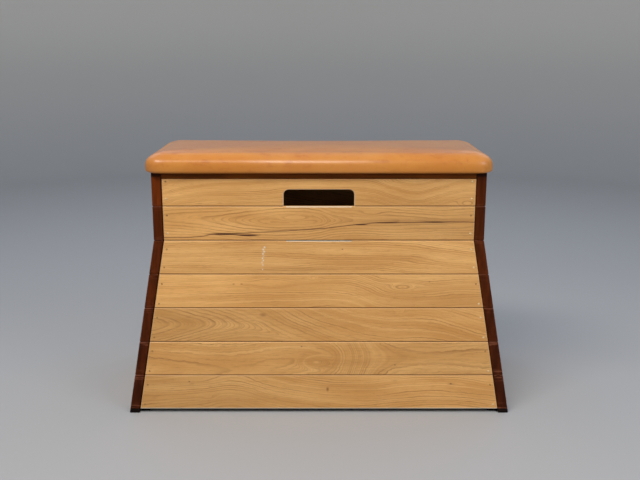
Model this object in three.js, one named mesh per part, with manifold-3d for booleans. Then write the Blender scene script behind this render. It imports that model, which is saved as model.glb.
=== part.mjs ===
// Vaulting box of seven stacked tiers under a leather-covered lid.
// Units are millimetres, +Z is up, X runs along the box and the front faces -Y.
// The origin lies on the floor under the middle of the box.
// Every tier is a ring of four boards screwed to four corner posts. The two upper tiers
// stand upright, and the ones below flare outwards like a cut-off pyramid.
// Each post ends in a tapered tongue that locates the tier above it.

import * as THREE from 'three';
import { mergeVertices } from 'three/addons/utils/BufferGeometryUtils.js';
import Module from 'manifold-3d';

const wasm = await Module();
wasm.setup();

// Overall sizes
const upperLength = 1360;
const upperDepth = 480;
const baseLength = 1573;
const baseDepth = 742;
const lidTierHeight = 140;
const secondTierHeight = 143;
const lowerTierHeight = 137.6;
const lowerTierCount = 5;
const footHeight = 17;

// Boards
const boardThickness = 20;
const arris = 2.5;
const lidRailHeight = 27;
const lidRailWidth = 65;
const lidRailSetback = 2;

// Hand slots in the lid, and the finger bevels on the boards below it
const slotLength = 288;
const slotHeight = 69;
const slotCornerRadius = 22;
const fingerBevelLength = 268;
const fingerBevelDepth = 5;
const fingerBevelHeight = 4;

// Corner posts
const postFace = 42;
const postBlock = 62;
const postBlockChamfer = 24;
const tongueHeight = 38;
const tongueHeadroom = 2;
const tongueClearance = 2;
const tongueTaper = 6;

// Padded lid
const deckThickness = 18;
const deckOverhang = 20;
const deckArris = 3;
const padOverhang = 29.5;
const padHeight = 86;
const padWidestHeight = 30;
const padHemRadius = 10;
const padRollLength = 80;
const padCrown = 7;
const padCornerRadius = 65;
const padSideDraw = 3;
const leatherThickness = 3;
const paddingClearance = 0.6;
const hemClearance = 1.5;

// Fits
const seatGap = 0.3;
const cutOverrun = 10;

// Steps of round forms
const slotCornerSteps = 6;
const deckCornerSteps = 6;
const padCornerSteps = 5;
const padSideSteps = 3;
const padRollSteps = 7;
const padHemSteps = 3;
const padCrownShares = [0.8, 0.55, 0.25];

// Heights of the joints between the tiers
const kinkHeight = footHeight + lowerTierCount * lowerTierHeight;
const lidBottom = kinkHeight + secondTierHeight;
const lidTop = lidBottom + lidTierHeight;
const railBottom = lidTop - lidRailHeight;
const endSlope = (baseLength - upperLength) / 2 / kinkHeight;
const faceSlope = (baseDepth - upperDepth) / 2 / kinkHeight;
const blockEnd = boardThickness + postBlock;

const boardWood = new THREE.MeshStandardMaterial({ color: 0xc69a62, roughness: 0.45, metalness: 0 });
const postWood = new THREE.MeshStandardMaterial({ color: 0x4e2a14, roughness: 0.5, metalness: 0 });
const deckWood = new THREE.MeshStandardMaterial({ color: 0xb89468, roughness: 0.7, metalness: 0 });
const leather = new THREE.MeshStandardMaterial({ color: 0xd08a4e, roughness: 0.4, metalness: 0 });
const felt = new THREE.MeshStandardMaterial({ color: 0x8c8377, roughness: 0.95, metalness: 0 });

const box = new THREE.Group();
box.name = 'vaulting_box';

// Half of the box's outside length and depth at a height
function halfLengthAt(height) {
  return upperLength / 2 + endSlope * Math.max(kinkHeight - height, 0);
}

function halfDepthAt(height) {
  return upperDepth / 2 + faceSlope * Math.max(kinkHeight - height, 0);
}

// A closed solid from a geometry
function solidOf(geometry) {
  const bare = geometry.index ? geometry.toNonIndexed() : geometry.clone();
  bare.deleteAttribute('normal');
  bare.deleteAttribute('uv');
  const joined = mergeVertices(bare);
  return new wasm.Manifold(new wasm.Mesh({
    numProp: 3,
    vertProperties: Float32Array.from(joined.attributes.position.array),
    triVerts: Uint32Array.from(joined.index.array),
  }));
}

// A geometry from a closed solid
function geometryOf(solid) {
  const mesh = solid.getMesh();
  const geometry = new THREE.BufferGeometry();
  geometry.setAttribute('position', new THREE.BufferAttribute(Float32Array.from(mesh.vertProperties), 3));
  geometry.setIndex(new THREE.BufferAttribute(Uint32Array.from(mesh.triVerts), 1));
  geometry.computeVertexNormals();
  return geometry;
}

function addPiece(name, geometry, material) {
  const piece = new THREE.Mesh(geometry, material);
  piece.name = name;
  box.add(piece);
}

// Moves every vertex of a geometry to the point that a rule gives for it
function shaped(geometry, rule) {
  const place = geometry.attributes.position;
  const vertex = new THREE.Vector3();
  for (let i = 0; i < place.count; i++) {
    vertex.fromBufferAttribute(place, i);
    const moved = rule(vertex);
    place.setXYZ(i, moved.x, moved.y, moved.z);
  }
  geometry.computeVertexNormals();
  return geometry;
}

// Turns the faces of a geometry over, after a rule that mirrors it
function turnedOver(geometry) {
  const bare = geometry.index ? geometry : mergeVertices(geometry);
  const order = bare.index.array;
  for (let i = 0; i < order.length; i += 3) {
    [order[i + 1], order[i + 2]] = [order[i + 2], order[i + 1]];
  }
  return bare;
}

function outline(points) {
  return new THREE.Shape(points.map(([across, up]) => new THREE.Vector2(across, up)));
}

// Tiers

// Seven tiers, from the lid down
const tiers = [
  { top: lidTop, bottom: lidBottom },
  { top: lidBottom, bottom: kinkHeight },
];
for (let i = 0; i < lowerTierCount; i++) {
  const top = kinkHeight - i * lowerTierHeight;
  tiers.push({ top, bottom: top - lowerTierHeight });
}
tiers.forEach((tier, i) => {
  tier.name = i === 0 ? 'lid' : `tier_${i + 1}`;
  tier.isLid = i === 0;
  tier.isBase = i === tiers.length - 1;
  tier.boardTop = (tier.isLid ? railBottom : tier.top) - seatGap;
  tier.postBottom = tier.isBase ? 0 : tier.bottom;
  tier.hasFingerBevel = i === 1 || i === 2;
});

// Boards

// Outline of a board in its own plane: across and up. Its ends follow the posts.
function boardOutline(tier, halfSpanAt, slotted) {
  const low = halfSpanAt(tier.bottom) - postFace - seatGap;
  const high = halfSpanAt(tier.boardTop) - postFace - seatGap;
  const shape = new THREE.Shape();
  shape.moveTo(low, tier.bottom);
  shape.lineTo(high, tier.boardTop);
  shape.lineTo(-high, tier.boardTop);
  shape.lineTo(-low, tier.bottom);
  if (slotted) {
    const side = slotLength / 2;
    const roof = tier.bottom + slotHeight;
    shape.lineTo(-side, tier.bottom);
    shape.lineTo(-side, roof - slotCornerRadius);
    shape.absarc(-side + slotCornerRadius, roof - slotCornerRadius, slotCornerRadius, Math.PI, Math.PI / 2, true);
    shape.absarc(side - slotCornerRadius, roof - slotCornerRadius, slotCornerRadius, Math.PI / 2, 0, true);
    shape.lineTo(side, tier.bottom);
  }
  return shape;
}

// A board as a slab: x across, y through its thickness from the outside face, z up
function boardSlab(shape) {
  const slab = new THREE.ExtrudeGeometry(shape, {
    depth: boardThickness - 2 * arris,
    bevelEnabled: true,
    bevelThickness: arris,
    bevelSize: arris,
    bevelOffset: -arris,
    bevelSegments: 1,
    curveSegments: slotCornerSteps,
  });
  slab.translate(0, 0, arris);
  return slab;
}

// Wedge that takes the outer top arris off a board over the width of the hand slot
function fingerWedge(tier) {
  const wedge = outline([
    [-cutOverrun, tier.boardTop + cutOverrun],
    [-cutOverrun, tier.boardTop - fingerBevelHeight],
    [0, tier.boardTop - fingerBevelHeight],
    [fingerBevelDepth, tier.boardTop],
    [fingerBevelDepth, tier.boardTop + cutOverrun],
  ]);
  const prism = new THREE.ExtrudeGeometry(wedge, { depth: fingerBevelLength, bevelEnabled: false });
  return shaped(prism, (p) => new THREE.Vector3(fingerBevelLength / 2 - p.z, p.y, p.x));
}

// Front and back boards lie along X, and end boards along Y
function addLongBoard(tier, side, label) {
  const slab = boardSlab(boardOutline(tier, halfLengthAt, tier.isLid));
  let solid = solidOf(slab);
  if (tier.hasFingerBevel) {
    solid = solid.subtract(solidOf(fingerWedge(tier)));
  }
  const flat = geometryOf(solid);
  const placed = shaped(flat, (p) => new THREE.Vector3(p.x, side * (halfDepthAt(p.y) - p.z), p.y));
  addPiece(`${tier.name}_${label}_board`, side < 0 ? turnedOver(placed) : placed, boardWood);
}

function addEndBoard(tier, side, label) {
  const slab = boardSlab(boardOutline(tier, halfDepthAt, false));
  const flat = geometryOf(solidOf(slab));
  const placed = shaped(flat, (p) => new THREE.Vector3(side * (halfLengthAt(p.y) - p.z), p.x, p.y));
  addPiece(`${tier.name}_${label}_end_board`, side > 0 ? turnedOver(placed) : placed, boardWood);
}

// Posts

// Section of a post: the visible corner, two rabbets for the boards and the block behind them.
// Both coordinates run inwards, from the end face and from the front or back face.
function postSection() {
  const rabbet = boardThickness + seatGap;
  return outline([
    [arris, 0],
    [postFace - arris, 0],
    [postFace, arris],
    [postFace, rabbet],
    [blockEnd, rabbet],
    [blockEnd, blockEnd - postBlockChamfer],
    [blockEnd - postBlockChamfer, blockEnd],
    [rabbet, blockEnd],
    [rabbet, postFace],
    [arris, postFace],
    [0, postFace - arris],
    [0, arris],
  ]);
}

function prismBetween(shape, bottom, top) {
  const prism = new THREE.ExtrudeGeometry(shape, { depth: top - bottom, bevelEnabled: false });
  prism.translate(0, 0, bottom);
  return prism;
}

function squareBetween(near, far, bottom, top) {
  return prismBetween(outline([[near, near], [far, near], [far, far], [near, far]]), bottom, top);
}

// The post's body with eased ends
function postBody(bottom, top) {
  const body = new THREE.ExtrudeGeometry(postSection(), {
    depth: top - bottom - 2 * arris,
    bevelEnabled: true,
    bevelThickness: arris,
    bevelSize: arris,
    bevelOffset: -arris,
    bevelSegments: 1,
  });
  body.translate(0, 0, bottom + arris);
  return body;
}

// The tongue stands on the block and narrows towards its top
function tongue(tier) {
  const near = boardThickness + seatGap + tongueClearance;
  const far = blockEnd - tongueClearance;
  const chamfer = postBlockChamfer;
  const foot = tier.top - cutOverrun;
  const tip = tier.top + tongueHeight;
  const section = outline([
    [near, near],
    [far, near],
    [far, far - chamfer],
    [far - chamfer, far],
    [near, far],
  ]);
  const prism = new THREE.ExtrudeGeometry(section, { depth: 1, steps: 2, bevelEnabled: false });
  const middle = (near + far) / 2;
  const tipShare = 1 - 2 * tongueTaper / (far - near);
  return shaped(prism, (p) => {
    if (p.z === 1) {
      return new THREE.Vector3(middle + (p.x - middle) * tipShare, middle + (p.y - middle) * tipShare, tip);
    }
    return new THREE.Vector3(p.x, p.y, p.z > 0 ? tier.top : foot);
  });
}

// The post is joined and cut in its inward coordinates, and then carried to its corner
function addPost(tier, endSide, faceSide, label) {
  let solid = solidOf(postBody(tier.postBottom, tier.top - seatGap));
  if (!tier.isBase) {
    // The pocket takes the tongue of the tier below
    const pocketTop = tier.bottom + tongueHeight + tongueHeadroom;
    const pocket = squareBetween(
      boardThickness + seatGap, blockEnd + cutOverrun, tier.bottom - cutOverrun, pocketTop,
    );
    solid = solid.subtract(solidOf(pocket));
  }
  if (tier.isLid) {
    // Above the boards only the visible corner goes on, and the rails lie behind it
    const far = blockEnd + cutOverrun;
    const shoulders = [
      outline([[postFace, -cutOverrun], [far, -cutOverrun], [far, far], [postFace, far]]),
      outline([[-cutOverrun, postFace], [far, postFace], [far, far], [-cutOverrun, far]]),
    ];
    for (const shoulder of shoulders) {
      solid = solid.subtract(solidOf(prismBetween(shoulder, railBottom - seatGap, lidTop + cutOverrun)));
    }
  } else {
    solid = solid.add(solidOf(tongue(tier)));
  }
  const placed = shaped(geometryOf(solid), (p) => new THREE.Vector3(
    endSide * (halfLengthAt(p.z) - p.x),
    faceSide * (halfDepthAt(p.z) - p.y),
    p.z,
  ));
  addPiece(`${tier.name}_${label}_post`, endSide * faceSide < 0 ? turnedOver(placed) : placed, postWood);
}

for (const tier of tiers) {
  addLongBoard(tier, -1, 'front');
  addLongBoard(tier, 1, 'back');
  addEndBoard(tier, -1, 'left');
  addEndBoard(tier, 1, 'right');
  addPost(tier, -1, -1, 'front_left');
  addPost(tier, 1, -1, 'front_right');
  addPost(tier, -1, 1, 'back_left');
  addPost(tier, 1, 1, 'back_right');
}

// Rails of the lid

// One frame of stained rails, notched round the four posts, which carries the deck
function addRailFrame() {
  const length = upperLength / 2 - lidRailSetback;
  const depth = upperDepth / 2 - lidRailSetback;
  const notchLength = upperLength / 2 - postFace - seatGap;
  const notchDepth = upperDepth / 2 - postFace - seatGap;
  const innerLength = upperLength / 2 - lidRailWidth;
  const innerDepth = upperDepth / 2 - lidRailWidth;
  const frame = outline([
    [notchLength, -depth],
    [notchLength, -notchDepth],
    [length, -notchDepth],
    [length, notchDepth],
    [notchLength, notchDepth],
    [notchLength, depth],
    [-notchLength, depth],
    [-notchLength, notchDepth],
    [-length, notchDepth],
    [-length, -notchDepth],
    [-notchLength, -notchDepth],
    [-notchLength, -depth],
  ]);
  frame.holes.push(new THREE.Path([
    new THREE.Vector2(innerLength, -innerDepth),
    new THREE.Vector2(-innerLength, -innerDepth),
    new THREE.Vector2(-innerLength, innerDepth),
    new THREE.Vector2(innerLength, innerDepth),
  ]));
  addPiece('lid_rail_frame', prismBetween(frame, railBottom, lidTop - seatGap), postWood);
}

// Deck under the padding

function roundedRectangle(halfLength, halfDepth, radius) {
  const shape = new THREE.Shape();
  shape.absarc(halfLength - radius, -halfDepth + radius, radius, -Math.PI / 2, 0, false);
  shape.absarc(halfLength - radius, halfDepth - radius, radius, 0, Math.PI / 2, false);
  shape.absarc(-halfLength + radius, halfDepth - radius, radius, Math.PI / 2, Math.PI, false);
  shape.absarc(-halfLength + radius, -halfDepth + radius, radius, Math.PI, 3 * Math.PI / 2, false);
  return shape;
}

function addDeck() {
  const shape = roundedRectangle(
    upperLength / 2 + deckOverhang,
    upperDepth / 2 + deckOverhang,
    padCornerRadius - padOverhang + deckOverhang,
  );
  const deck = new THREE.ExtrudeGeometry(shape, {
    depth: deckThickness - 2 * deckArris,
    bevelEnabled: true,
    bevelThickness: deckArris,
    bevelSize: deckArris,
    bevelOffset: -deckArris,
    bevelSegments: 1,
    curveSegments: deckCornerSteps,
  });
  deck.translate(0, 0, lidTop + deckArris);
  addPiece('lid_deck', deck, deckWood);
}

// Padding and leather cover

const padHalfLength = upperLength / 2 + padOverhang;
const padHalfDepth = upperDepth / 2 + padOverhang;
const padBottom = lidTop - seatGap - leatherThickness;
const padTop = lidTop + padHeight;
const padWidest = lidTop + padWidestHeight;
const padEdgeTop = padTop - padCrown;

// A ring round the pad. The inset runs inwards from the widest outline, and a share below 1
// shrinks the ring towards the middle. Above the hem the sides are drawn in between the corners.
function padRing(inset, height, share = 1, radius = Math.max(padCornerRadius - inset, leatherThickness)) {
  const length = padHalfLength - inset;
  const depth = padHalfDepth - inset;
  const drawIn = padSideDraw * Math.min((height - padBottom) / (padWidest - padBottom), 1);
  const ring = [];
  const corners = [[1, -1], [1, 1], [-1, 1], [-1, -1]];
  corners.forEach(([alongX, alongY], corner) => {
    const start = -Math.PI / 2 + corner * Math.PI / 2;
    const middle = new THREE.Vector2(alongX * (length - radius), alongY * (depth - radius));
    for (let i = 0; i <= padCornerSteps; i++) {
      const angle = start + i / padCornerSteps * Math.PI / 2;
      ring.push(new THREE.Vector2(middle.x + radius * Math.cos(angle), middle.y + radius * Math.sin(angle)));
    }
    const [nextX, nextY] = corners[(corner + 1) % corners.length];
    const from = ring[ring.length - 1].clone();
    const nextStart = start + Math.PI / 2;
    const to = new THREE.Vector2(
      nextX * (length - radius) + radius * Math.cos(nextStart),
      nextY * (depth - radius) + radius * Math.sin(nextStart),
    );
    const inwards = new THREE.Vector2(-Math.cos(nextStart), -Math.sin(nextStart));
    for (let i = 1; i <= padSideSteps; i++) {
      const along = i / (padSideSteps + 1);
      ring.push(from.clone().lerp(to, along).addScaledVector(inwards, drawIn * Math.sin(along * Math.PI)));
    }
  });
  return ring.map((p) => new THREE.Vector3(p.x * share, p.y * share, height));
}

// Outside of the pad, thinned by a skin, from its hem upwards to the crown
function padRings(skin) {
  const rings = [];
  const hemRadius = padHemRadius - skin;
  for (let i = 0; i <= padHemSteps; i++) {
    const angle = i / padHemSteps * Math.PI / 2;
    rings.push(padRing(skin + hemRadius * (1 - Math.sin(angle)), padBottom + skin + hemRadius * (1 - Math.cos(angle))));
  }
  rings.push(padRing(skin, padWidest));
  const rollLength = padRollLength - skin;
  const rollHeight = padEdgeTop - padWidest - skin;
  for (let i = 1; i <= padRollSteps; i++) {
    const angle = i / padRollSteps * Math.PI / 2;
    rings.push(padRing(skin + rollLength * (1 - Math.cos(angle)), padWidest + rollHeight * Math.sin(angle)));
  }
  for (const share of padCrownShares) {
    const rise = padCrown * Math.cos(share * Math.PI / 2);
    rings.push(padRing(padRollLength, padEdgeTop - skin + rise, share));
  }
  return rings;
}

// A closed solid through a row of rings, with a flat cap at each end. Rising and falling
// bands split their faces along the same diagonal, so nested lofts keep their gap.
function loft(rings) {
  const count = rings[0].length;
  const positions = [];
  rings.forEach((ring) => ring.forEach((p) => positions.push(p.x, p.y, p.z)));
  const order = [];
  for (let i = 0; i + 1 < rings.length; i++) {
    const rising = rings[i + 1][0].z > rings[i][0].z;
    for (let j = 0; j < count; j++) {
      const a = i * count + j;
      const b = i * count + (j + 1) % count;
      const faces = rising
        ? [a, b, b + count, a, b + count, a + count]
        : [a, b, a + count, b, b + count, a + count];
      order.push(...faces);
    }
  }
  const last = (rings.length - 1) * count;
  for (const [ring, offset, top] of [[rings[0], 0, false], [rings[rings.length - 1], last, true]]) {
    const faces = THREE.ShapeUtils.triangulateShape(ring.map((p) => new THREE.Vector2(p.x, p.y)), []);
    for (const [a, b, c] of faces) {
      order.push(...(top ? [a, b, c] : [a, c, b]).map((k) => k + offset));
    }
  }
  const geometry = new THREE.BufferGeometry();
  geometry.setAttribute('position', new THREE.BufferAttribute(new Float32Array(positions), 3));
  geometry.setIndex(order);
  geometry.computeVertexNormals();
  return geometry;
}

// The leather wraps the pad and turns under the deck as a hem, cut square round the posts
function addCover() {
  const hemInset = padOverhang - hemClearance;
  const hemAt = (height) => padRing(hemInset, height, 1, leatherThickness);
  const outside = [hemAt(padBottom), ...padRings(0)];
  const inside = [hemAt(padBottom + leatherThickness), ...padRings(leatherThickness)];
  addPiece('lid_leather_cover', loft([...inside.reverse(), ...outside]), leather);
}

// The padding fills the cover above the deck
function addPadding() {
  const skin = leatherThickness + paddingClearance;
  const deckTop = lidTop + deckThickness + seatGap;
  const above = padRings(skin).filter(([p]) => p.z > deckTop);
  addPiece('lid_padding', loft([padRing(skin, deckTop), ...above]), felt);
}

addRailFrame();
addDeck();
addPadding();
addCover();

export default box;
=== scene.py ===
import math
import random
from collections import namedtuple
from itertools import product

import bmesh
import bpy
from bpy.props import FloatProperty, FloatVectorProperty, IntProperty, PointerProperty
from mathutils import Euler, Matrix, Vector


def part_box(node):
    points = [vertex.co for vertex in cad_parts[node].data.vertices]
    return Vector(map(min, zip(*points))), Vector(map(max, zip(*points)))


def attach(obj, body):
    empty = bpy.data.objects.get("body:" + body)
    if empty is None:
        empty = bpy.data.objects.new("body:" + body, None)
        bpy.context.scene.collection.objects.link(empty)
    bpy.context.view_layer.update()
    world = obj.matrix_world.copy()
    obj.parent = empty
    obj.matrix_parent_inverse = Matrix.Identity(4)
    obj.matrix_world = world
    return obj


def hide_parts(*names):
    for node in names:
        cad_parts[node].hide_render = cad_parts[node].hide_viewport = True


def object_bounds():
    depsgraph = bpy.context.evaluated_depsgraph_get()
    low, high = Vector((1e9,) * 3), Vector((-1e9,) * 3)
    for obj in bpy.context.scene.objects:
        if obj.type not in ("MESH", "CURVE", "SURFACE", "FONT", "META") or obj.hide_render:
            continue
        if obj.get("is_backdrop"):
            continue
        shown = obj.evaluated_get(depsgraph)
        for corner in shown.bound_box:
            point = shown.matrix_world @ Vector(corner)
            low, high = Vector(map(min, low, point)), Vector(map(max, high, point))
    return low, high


bl_info = {
    "name": "Vaulting box finish",
    "version": (1, 0, 0),
    "blender": (4, 5, 0),
    "location": "3D View > Sidebar > Vaulting box",
    "description": "Wood, stain, screws and the padded leather lid of a seven-tier vaulting box",
    "category": "Object",
}

# Units are metres, +Z is up, X runs along the box and the front faces -Y.
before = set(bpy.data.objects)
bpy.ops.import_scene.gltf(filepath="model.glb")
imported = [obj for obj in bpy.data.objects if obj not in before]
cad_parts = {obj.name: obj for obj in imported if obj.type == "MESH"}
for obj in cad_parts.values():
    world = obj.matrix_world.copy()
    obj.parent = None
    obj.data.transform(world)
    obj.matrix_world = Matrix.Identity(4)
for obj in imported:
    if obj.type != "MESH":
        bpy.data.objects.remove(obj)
cad_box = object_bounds()

MM = 0.001

# The stack, from the lid down. The tiers named in UPRIGHT stand straight, and the others flare.
TIERS = ("lid", "tier_2", "tier_3", "tier_4", "tier_5", "tier_6", "tier_7")
UPRIGHT = ("lid", "tier_2")
FIRST_FLARED, BASE = "tier_3", "tier_7"

# Each side of the box as a turn about Z of the front, which faces -Y
SIDE_TURNS = {
    "front_board": 0.0,
    "right_end_board": math.pi / 2,
    "back_board": math.pi,
    "left_end_board": -math.pi / 2,
}
LONG_SIDES = ("front_board", "back_board")

# The corner posts, with the side of X and of Y that each stands on
POSTS = {
    "front_left_post": (-1, -1),
    "front_right_post": (1, -1),
    "back_left_post": (-1, 1),
    "back_right_post": (1, 1),
}


def linear(colour):
    """A hex sRGB colour as the linear numbers that Blender's sockets take."""
    shares = [int(colour[i:i + 2], 16) / 255 for i in (1, 3, 5)]
    return tuple(s / 12.92 if s <= 0.04045 else ((s + 0.055) / 1.055) ** 2.4 for s in shares)


def opaque(colour):
    """A colour of three numbers with a full fourth one."""
    return (*colour, 1.0)


# Settings

def colour_setting(name, description, default):
    """A colour that a user may change."""
    return FloatVectorProperty(
        name=name, description=description, subtype="COLOR", size=3, min=0, max=1, default=linear(default))


def length_setting(name, description, default):
    """A length that a user may change."""
    return FloatProperty(
        name=name, description=description, subtype="DISTANCE", unit="LENGTH", min=0, default=default)


def power_setting(name, description, default):
    """A lamp's power, which a user may change."""
    return FloatProperty(name=name, description=description, subtype="POWER", min=0, default=default)


class TimberSettings(bpy.types.PropertyGroup):
    pale_wood: colour_setting("Pale wood", "Light tone of the varnished boards", "#E5B26E")
    warm_wood: colour_setting("Warm wood", "Deeper tone of the varnished boards", "#C18947")
    ring_line: colour_setting("Ring lines", "Porous early wood of each growth ring", "#7C4B19")
    bare_wood: colour_setting("Bare wood", "Wood without varnish at the finger bevels", "#E2D8C2")
    rubbed_wood: colour_setting("Rubbed wood", "Thin varnish on the arrises of the boards", "#E9B87E")
    grime: colour_setting("Grime", "Dirt in the joints between the boards", "#5A3008")
    knot: colour_setting("Knots and splits", "Darkest wood in knots and splits", "#4A2208")
    upper_stain: colour_setting("Upper stain", "Stain of the posts near the lid", "#612907")
    rail_stain: colour_setting("Rail stain", "Stain of the rails below the leather", "#6E380A")
    lower_stain: colour_setting("Lower stain", "Stain of the posts near the floor", "#3E1805")
    worn_stain: colour_setting("Worn stain", "Stained wood where the arrises are rubbed", "#7E4A34")
    foot_dirt: colour_setting("Foot dirt", "Post ends that stand on the floor", "#0E0C0A")
    edge_radius: length_setting("Edge radius", "Rounding of the edges of boards and posts", 0.8 * MM)


class ScrewSettings(bpy.types.PropertyGroup):
    radius: length_setting("Head radius", "Radius of the screw heads", 3.8 * MM)
    proud: length_setting("Height", "How far a head stands out of the board", 0.5 * MM)
    putty_radius: length_setting("Putty radius", "Radius of the putty over a screw", 4.6 * MM)
    putty_height: length_setting("Putty height", "How far the putty stands out of the board", 1.8 * MM)
    end_inset: length_setting("Inset", "Distance of a screw from the end of its board", 16 * MM)
    brass: colour_setting("Head", "Tarnished screw head", "#A87C4A")
    putty: colour_setting("Putty", "Pale putty over a screw", "#F3D29C")


class LeatherSettings(bpy.types.PropertyGroup):
    tan: colour_setting("Tan", "Main colour of the leather", "#C67E35")
    honey: colour_setting("Honey", "Lighter rubbed patches", "#CD883D")
    russet: colour_setting("Russet", "Darker patches and the bottom of creases", "#A65820")
    voxel: length_setting("Mesh grain", "Voxel size of the leather's mesh", 8 * MM)
    slack: length_setting("Slack", "How much smaller the pad is before it swells", 0.5 * MM)
    swell: length_setting("Swell", "Most that the leather may move as it swells", 4 * MM)
    pressure: FloatProperty(name="Pressure", description="Pressure of the padding", min=0, default=4)
    frames: IntProperty(name="Frames", description="Frames that the leather settles for", min=2, default=20)


class StageSettings(bpy.types.PropertyGroup):
    floor: colour_setting("Floor", "Plain pale floor", "#ACADAF")
    # Painted light: the paper fades from the floor's colour up to this paler one
    wall: colour_setting("Wall", "Plain wall, paler towards its top", "#D8D5CF")
    room: colour_setting("Room light", "Colour of the light from all round", "#D8E2F0")
    room_light: FloatProperty(
        name="Room strength", description="Light from above the wall", min=0, default=0.62)
    key_light: power_setting("Key", "Main soft light", 125)
    fill_light: power_setting("Fill", "Weaker soft light", 38)
    rear_light: power_setting("Rear", "Each light behind the box", 16)
    lens: FloatProperty(
        name="Lens", description="Focal length", subtype="DISTANCE_CAMERA", min=1, default=47.475)
    camera_distance: length_setting("Distance", "Camera from the middle of the box", 3.6215)
    camera_height: length_setting("Height", "Camera above the floor", 1.503)
    camera_dip: FloatProperty(
        name="Dip", description="How far the camera looks down", subtype="ANGLE",
        default=math.radians(13.24))


class BoxSettings(bpy.types.PropertyGroup):
    timber: PointerProperty(type=TimberSettings, name="Timber", description="Boards and posts")
    screws: PointerProperty(type=ScrewSettings, name="Screws", description="Screw heads and putty")
    leather: PointerProperty(type=LeatherSettings, name="Leather", description="Cover of the lid")
    stage: PointerProperty(type=StageSettings, name="Stage", description="Floor, lights and camera")


# Nodes

# What the nodes of a kind are set to, unless a call says otherwise
USUAL_SETTINGS = {"MapRange": {"interpolation_type": "SMOOTHSTEP"}, "Mix": {"data_type": "RGBA"}}


def in_use(sockets, name=None):
    """The first socket in use, or the first one of that name."""
    return next(s for s in sockets if s.enabled and name in (None, s.name))


def feed(tree, node, feeds):
    """Sets or links a node's sockets, by name from a dict or in their order from a list."""
    if isinstance(feeds, dict):
        pairs = [(in_use(node.inputs, name), value) for name, value in feeds.items()]
    else:
        pairs = zip([socket for socket in node.inputs if socket.enabled], feeds)
    for socket, value in pairs:
        if isinstance(value, bpy.types.Node):
            value = in_use(value.outputs)
        if isinstance(value, bpy.types.NodeSocket):
            tree.links.new(value, socket)
        else:
            socket.default_value = value


def add(tree, kind, feeds=(), **settings):
    """Adds a node with its settings, and feeds its sockets."""
    made = tree.nodes.new("ShaderNode" + kind)
    for name, value in {**USUAL_SETTINGS.get(kind, {}), **settings}.items():
        setattr(made, name, value)
    feed(tree, made, feeds)
    return made


def new_material(name):
    """A material, its node tree, its one shader and the place of a point on the box."""
    material = bpy.data.materials.new(name)
    material.use_nodes = True
    tree = material.node_tree
    return material, tree, tree.nodes["Principled BSDF"], add(tree, "TexCoord").outputs["Object"]


# A pattern of noise has a number of waves a metre along each axis. Its patches fade in between two
# values of the noise, from one share to another. Detail breaks up their edges, and seed tells apart
# the patterns of a material, whose own seed is drawn by its name.
Pattern = namedtuple(
    "Pattern", "waves fade shares detail seed", defaults=((0.0, 1.0), (0.0, 1.0), 2.0, 0.0))
SEED_LIMITS = (0, 50)


def noisy(tree, place, pattern, seed=0.0):
    """The noise of a pattern."""
    shift = (seed + pattern.seed,) * 3
    spread = add(tree, "Mapping", {"Vector": place, "Scale": pattern.waves, "Location": shift})
    return add(tree, "TexNoise", {"Vector": spread, "Scale": 1.0, "Detail": pattern.detail})


def patchy(tree, place, pattern, seed=0.0):
    """How strongly the patches of a pattern cover a point."""
    return add(tree, "MapRange", [noisy(tree, place, pattern, seed), *pattern.fade, *pattern.shares])


def spot(tree, local, x, z, half_length, half_height, strength=1.0):
    """A soft oval on a board's face, full in its middle and nothing at its rim."""
    place = {"Vector": local, "Location": (x, 0, z), "Scale": (half_length, SPOT_DEPTH, half_height)}
    inside = add(tree, "Mapping", place, vector_type="TEXTURE")
    distance = add(tree, "VectorMath", [inside], operation="LENGTH")
    return add(tree, "MapRange", [distance, 0.0, 1.0, strength, 0.0])


def joined(tree, values, operation):
    """Values joined two by two with one Math operation."""
    total = values[0]
    for value in values[1:]:
        total = add(tree, "Math", [total, value], operation=operation)
    return total


# Grain of the boards

# A board is sawn from a trunk whose heart runs behind its face. Heart gives the heart's height at
# places along the board, and climb how far the rings close in there, which draws the arches. Eyes
# are ovals round buried knots, with a place, a size and a number of rings. Knots have a place and a
# size, and shades are soft darker patches with a place, a size and a strength. Flame is how far the
# rings waver, and tones how pale the board is at its two ends. Places are in metres from the middle
# of the face, seen from outside.
Figure = namedtuple(
    "Figure", "ring depth heart climb eyes knots shades flame tones",
    defaults=(0.010, 0.10, (), (), (), (), (), 0.005, (1.0, 1.0)))
SPOT_DEPTH = 0.15
FIGURE_HALF_LENGTH = 0.8
TONE_REACH = 0.6

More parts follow.
